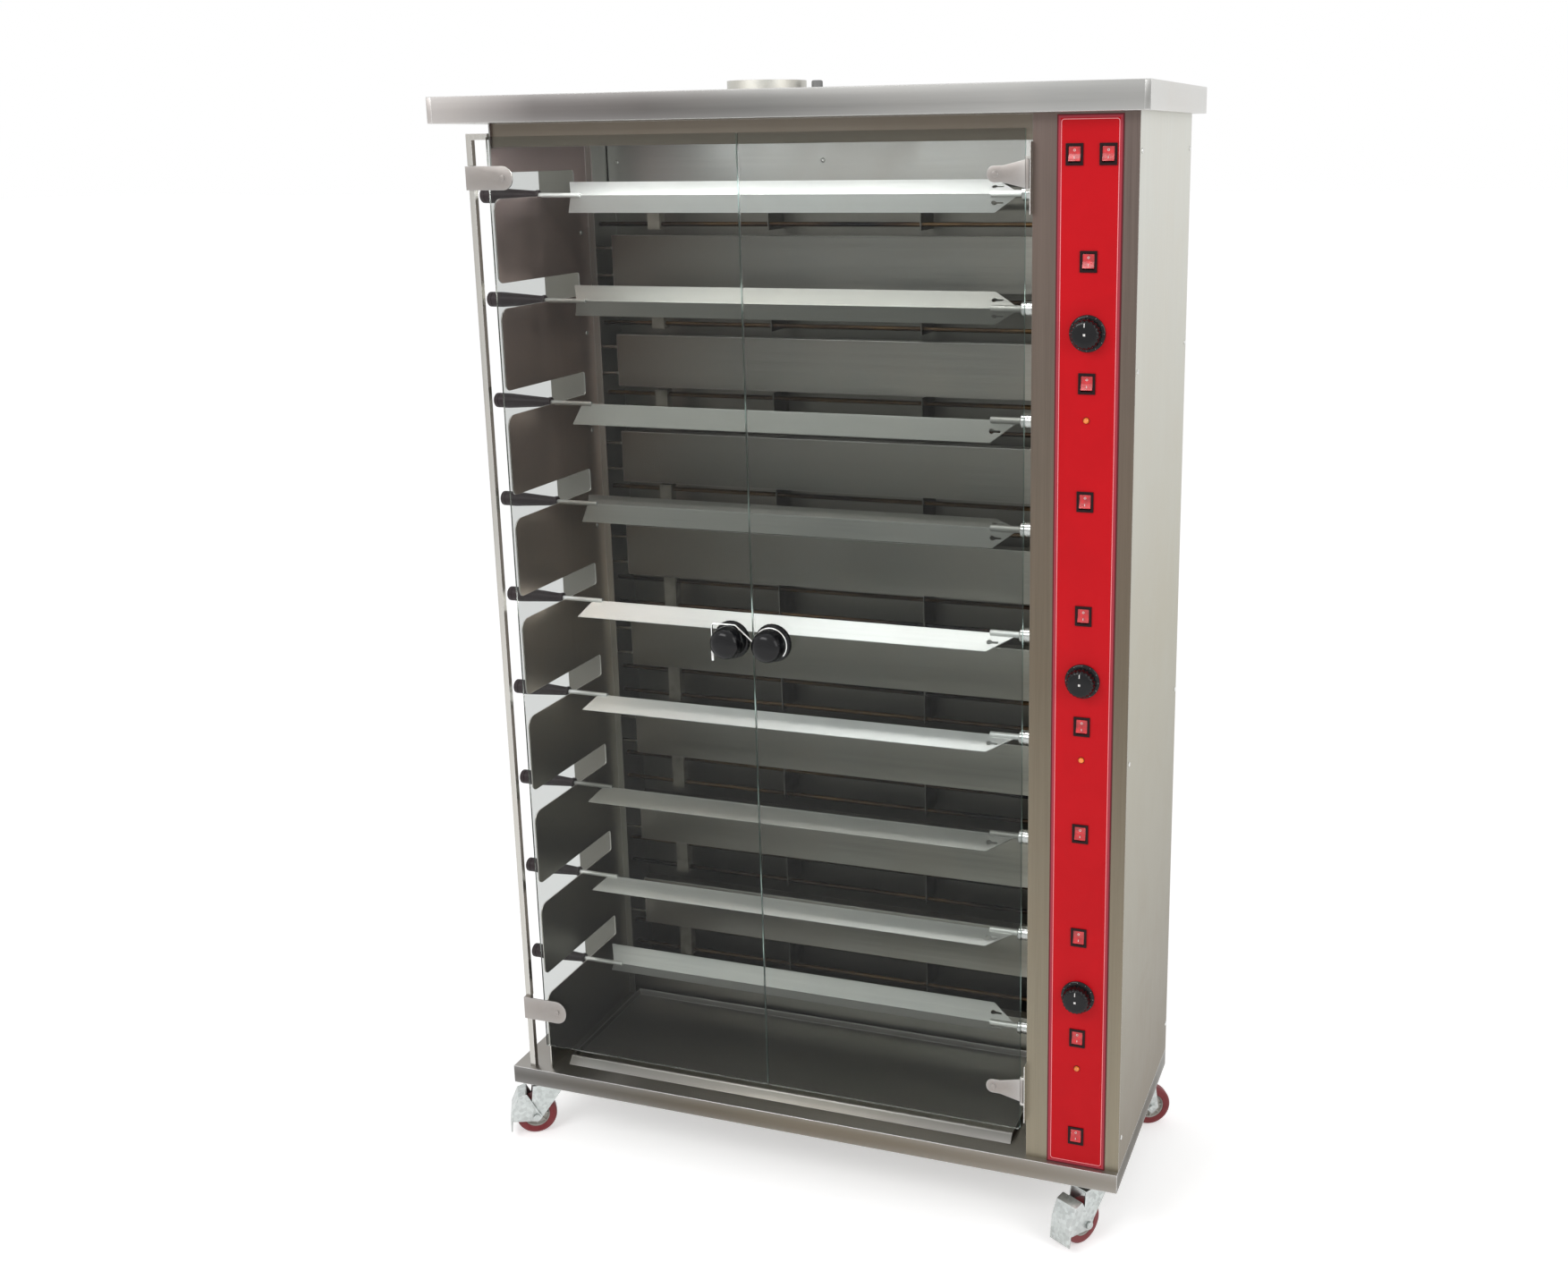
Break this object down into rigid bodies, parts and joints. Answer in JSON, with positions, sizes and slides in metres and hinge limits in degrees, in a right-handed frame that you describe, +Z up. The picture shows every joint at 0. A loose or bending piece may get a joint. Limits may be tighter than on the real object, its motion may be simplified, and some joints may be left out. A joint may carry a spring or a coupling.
{
  "type": "rotisserie",
  "caption": "Tall floor-standing rotisserie on casters with glass doors, stacked horizontal spits and a red control column.",
  "frame": {"origin": "on the floor, under the middle of the whole outline", "axes": "+X to the control column's side, +Y to the back, +Z up"},
  "size_m": [1.195, 0.494, 1.888],
  "materials": {
    "amber": "translucent amber",
    "black_plastic": "black phenolic",
    "black_switch": "gloss black",
    "bright_steel": "bright stainless",
    "brushed_steel": "satin brushed stainless sheet",
    "glass": "clear tempered glass",
    "grey_plastic": "grey nylon",
    "heater": "heat-browned tube",
    "lamp": "frosted lamp",
    "motor": "grey enamel",
    "red_plate": "gloss red enamel",
    "red_rocker": "translucent red",
    "red_tread": "red polyurethane",
    "reflector_steel": "heat-dulled stainless",
    "zinc": "bright zinc plate"
  },
  "bodies": {
    "cabinet": {"base_frame": "brushed_steel", "left_comb_wall": "brushed_steel", "rear_housing": "brushed_steel", "reflector_panels": "reflector_steel", "heating_elements": "heater", "top_panel": "brushed_steel", "interior_lamp": "lamp", "canopy": "brushed_steel", "column_shell": "brushed_steel", "right_side_panel": "brushed_steel", "control_plate": "red_plate", "switch_housings": "black_switch", "indicator_lamps": "amber", "gear_motors": "motor", "door_hinge_posts": "brushed_steel", "roof_vent": "brushed_steel", "cable_gland": "grey_plastic", "fasteners": "zinc"},
    "left_door": {"left_door_glass": "glass", "left_door_brackets": "brushed_steel", "left_door_knob": "black_plastic"},
    "right_door": {"right_door_glass": "glass", "right_door_brackets": "brushed_steel", "right_door_knob": "black_plastic"},
    "latch": {"door_latch": "zinc"},
    "tray": {"drip_tray": "bright_steel"},
    "fan": {"fan_rotor": "grey_plastic"},
    "spit_1": {"spit_1": "bright_steel"},
    "spit_2": {"spit_2": "bright_steel"},
    "spit_3": {"spit_3": "bright_steel"},
    "spit_4": {"spit_4": "bright_steel"},
    "spit_5": {"spit_5": "bright_steel"},
    "spit_6": {"spit_6": "bright_steel"},
    "spit_7": {"spit_7": "bright_steel"},
    "spit_8": {"spit_8": "bright_steel"},
    "spit_9": {"spit_9": "bright_steel"},
    "rocker_1": {"rocker_1": "red_rocker"},
    "rocker_2": {"rocker_2": "red_rocker"},
    "rocker_3": {"rocker_3": "red_rocker"},
    "rocker_4": {"rocker_4": "red_rocker"},
    "rocker_5": {"rocker_5": "red_rocker"},
    "rocker_6": {"rocker_6": "red_rocker"},
    "rocker_7": {"rocker_7": "red_rocker"},
    "rocker_8": {"rocker_8": "red_rocker"},
    "rocker_9": {"rocker_9": "red_rocker"},
    "rocker_light": {"rocker_light": "red_rocker"},
    "rocker_fan": {"rocker_fan": "red_rocker"},
    "thermostat_knob_1": {"thermostat_knob_1": "black_plastic"},
    "thermostat_knob_2": {"thermostat_knob_2": "black_plastic"},
    "thermostat_knob_3": {"thermostat_knob_3": "black_plastic"},
    "caster_fl": {"caster_fork_fl": "zinc"},
    "wheel_fl": {"caster_wheel_fl": "red_tread"},
    "brake_fl": {"brake_pedal_fl": "zinc"},
    "caster_fr": {"caster_fork_fr": "zinc"},
    "wheel_fr": {"caster_wheel_fr": "red_tread"},
    "brake_fr": {"brake_pedal_fr": "zinc"},
    "caster_rl": {"caster_fork_rl": "zinc"},
    "wheel_rl": {"caster_wheel_rl": "red_tread"},
    "caster_rr": {"caster_fork_rr": "zinc"},
    "wheel_rr": {"caster_wheel_rr": "red_tread"}
  },
  "joints": [
    {"name": "left_door_hinge", "type": "hinge", "parent": "cabinet", "child": "left_door", "pos_m": [-0.5165, -0.194, 1], "axis": [0, 0, -1], "range_deg": [0, 120]},
    {"name": "right_door_hinge", "type": "hinge", "parent": "cabinet", "child": "right_door", "pos_m": [0.4155, -0.205, 1], "axis": [0, 0, 1], "range_deg": [0, 120]},
    {"name": "latch_pivot", "type": "hinge", "parent": "right_door", "child": "latch", "pos_m": [-0.006, -0.215, 1.002], "axis": [0, 1, 0], "range_deg": [0, 100]},
    {"name": "tray_slide", "type": "slide", "parent": "cabinet", "child": "tray", "axis": [0, -1, 0], "range_m": [0, 0.25]},
    {"name": "fan_spin", "type": "hinge", "parent": "cabinet", "child": "fan", "pos_m": [-0.0645, -0.027, 1.86], "axis": [0, 0, 1], "continuous": true},
    {"name": "spit_1_turn", "type": "hinge", "parent": "cabinet", "child": "spit_1", "pos_m": [0, -0.039, 1.71], "axis": [1, 0, 0], "continuous": true},
    {"name": "spit_2_turn", "type": "hinge", "parent": "cabinet", "child": "spit_2", "pos_m": [0, -0.039, 1.5326], "axis": [1, 0, 0], "continuous": true},
    {"name": "spit_3_turn", "type": "hinge", "parent": "cabinet", "child": "spit_3", "pos_m": [0, -0.039, 1.3552], "axis": [1, 0, 0], "continuous": true},
    {"name": "spit_4_turn", "type": "hinge", "parent": "cabinet", "child": "spit_4", "pos_m": [0, -0.039, 1.1778], "axis": [1, 0, 0], "continuous": true},
    {"name": "spit_5_turn", "type": "hinge", "parent": "cabinet", "child": "spit_5", "pos_m": [0, -0.039, 1.0004], "axis": [1, 0, 0], "continuous": true},
    {"name": "spit_6_turn", "type": "hinge", "parent": "cabinet", "child": "spit_6", "pos_m": [0, -0.039, 0.823], "axis": [1, 0, 0], "continuous": true},
    {"name": "spit_7_turn", "type": "hinge", "parent": "cabinet", "child": "spit_7", "pos_m": [0, -0.039, 0.6456], "axis": [1, 0, 0], "continuous": true},
    {"name": "spit_8_turn", "type": "hinge", "parent": "cabinet", "child": "spit_8", "pos_m": [0, -0.039, 0.4682], "axis": [1, 0, 0], "continuous": true},
    {"name": "spit_9_turn", "type": "hinge", "parent": "cabinet", "child": "spit_9", "pos_m": [0, -0.039, 0.2908], "axis": [1, 0, 0], "continuous": true},
    {"name": "rocker_1_toggle", "type": "hinge", "parent": "cabinet", "child": "rocker_1", "pos_m": [0.5058, -0.1955, 1.6176], "axis": [1, 0, 0], "range_deg": [0, 18]},
    {"name": "rocker_2_toggle", "type": "hinge", "parent": "cabinet", "child": "rocker_2", "pos_m": [0.5058, -0.1955, 1.4402], "axis": [1, 0, 0], "range_deg": [0, 18]},
    {"name": "rocker_3_toggle", "type": "hinge", "parent": "cabinet", "child": "rocker_3", "pos_m": [0.5058, -0.1955, 1.2628], "axis": [1, 0, 0], "range_deg": [0, 18]},
    {"name": "rocker_4_toggle", "type": "hinge", "parent": "cabinet", "child": "rocker_4", "pos_m": [0.5058, -0.1955, 1.0854], "axis": [1, 0, 0], "range_deg": [0, 18]},
    {"name": "rocker_5_toggle", "type": "hinge", "parent": "cabinet", "child": "rocker_5", "pos_m": [0.5058, -0.1955, 0.908], "axis": [1, 0, 0], "range_deg": [0, 18]},
    {"name": "rocker_6_toggle", "type": "hinge", "parent": "cabinet", "child": "rocker_6", "pos_m": [0.5058, -0.1955, 0.7306], "axis": [1, 0, 0], "range_deg": [0, 18]},
    {"name": "rocker_7_toggle", "type": "hinge", "parent": "cabinet", "child": "rocker_7", "pos_m": [0.5058, -0.1955, 0.5532], "axis": [1, 0, 0], "range_deg": [0, 18]},
    {"name": "rocker_8_toggle", "type": "hinge", "parent": "cabinet", "child": "rocker_8", "pos_m": [0.5058, -0.1955, 0.3758], "axis": [1, 0, 0], "range_deg": [0, 18]},
    {"name": "rocker_9_toggle", "type": "hinge", "parent": "cabinet", "child": "rocker_9", "pos_m": [0.5058, -0.1955, 0.1984], "axis": [1, 0, 0], "range_deg": [0, 18]},
    {"name": "rocker_light_toggle", "type": "hinge", "parent": "cabinet", "child": "rocker_light", "pos_m": [0.4832, -0.1955, 1.769], "axis": [1, 0, 0], "range_deg": [0, 18]},
    {"name": "rocker_fan_toggle", "type": "hinge", "parent": "cabinet", "child": "rocker_fan", "pos_m": [0.5326, -0.1955, 1.769], "axis": [1, 0, 0], "range_deg": [0, 18]},
    {"name": "thermostat_knob_1_turn", "type": "hinge", "parent": "cabinet", "child": "thermostat_knob_1", "pos_m": [0.5058, -0.207, 1.514], "axis": [0, 1, 0], "range_deg": [0, 300]},
    {"name": "thermostat_knob_2_turn", "type": "hinge", "parent": "cabinet", "child": "thermostat_knob_2", "pos_m": [0.5058, -0.207, 0.9818], "axis": [0, 1, 0], "range_deg": [0, 300]},
    {"name": "thermostat_knob_3_turn", "type": "hinge", "parent": "cabinet", "child": "thermostat_knob_3", "pos_m": [0.5058, -0.207, 0.4496], "axis": [0, 1, 0], "range_deg": [0, 300]},
    {"name": "caster_fl_swivel", "type": "hinge", "parent": "cabinet", "child": "caster_fl", "pos_m": [-0.5025, -0.164, 0.1], "axis": [0, 0, 1], "continuous": true},
    {"name": "wheel_fl_roll", "type": "hinge", "parent": "caster_fl", "child": "wheel_fl", "pos_m": [-0.52766, -0.18034, 0.0375], "axis": [0.5446, -0.8387, 0], "continuous": true},
    {"name": "brake_fl_press", "type": "hinge", "parent": "caster_fl", "child": "brake_fl", "pos_m": [-0.52766, -0.18034, 0.0375], "axis": [0.5446, -0.8387, 0], "range_deg": [0, 10]},
    {"name": "caster_fr_swivel", "type": "hinge", "parent": "cabinet", "child": "caster_fr", "pos_m": [0.5275, -0.164, 0.1], "axis": [0, 0, 1], "continuous": true},
    {"name": "wheel_fr_roll", "type": "hinge", "parent": "caster_fr", "child": "wheel_fr", "pos_m": [0.5125, -0.18998, 0.0375], "axis": [0.866, -0.5, 0], "continuous": true},
    {"name": "brake_fr_press", "type": "hinge", "parent": "caster_fr", "child": "brake_fr", "pos_m": [0.5125, -0.18998, 0.0375], "axis": [0.866, -0.5, 0], "range_deg": [0, 10]},
    {"name": "caster_rl_swivel", "type": "hinge", "parent": "cabinet", "child": "caster_rl", "pos_m": [-0.5025, 0.188, 0.1], "axis": [0, 0, 1], "continuous": true},
    {"name": "wheel_rl_roll", "type": "hinge", "parent": "caster_rl", "child": "wheel_rl", "pos_m": [-0.52848, 0.203, 0.0375], "axis": [-0.5, -0.866, 0], "continuous": true},
    {"name": "caster_rr_swivel", "type": "hinge", "parent": "cabinet", "child": "caster_rr", "pos_m": [0.5275, 0.188, 0.1], "axis": [0, 0, 1], "continuous": true},
    {"name": "wheel_rr_roll", "type": "hinge", "parent": "caster_rr", "child": "wheel_rr", "pos_m": [0.55348, 0.203, 0.0375], "axis": [-0.5, 0.866, 0], "continuous": true}
  ]
}
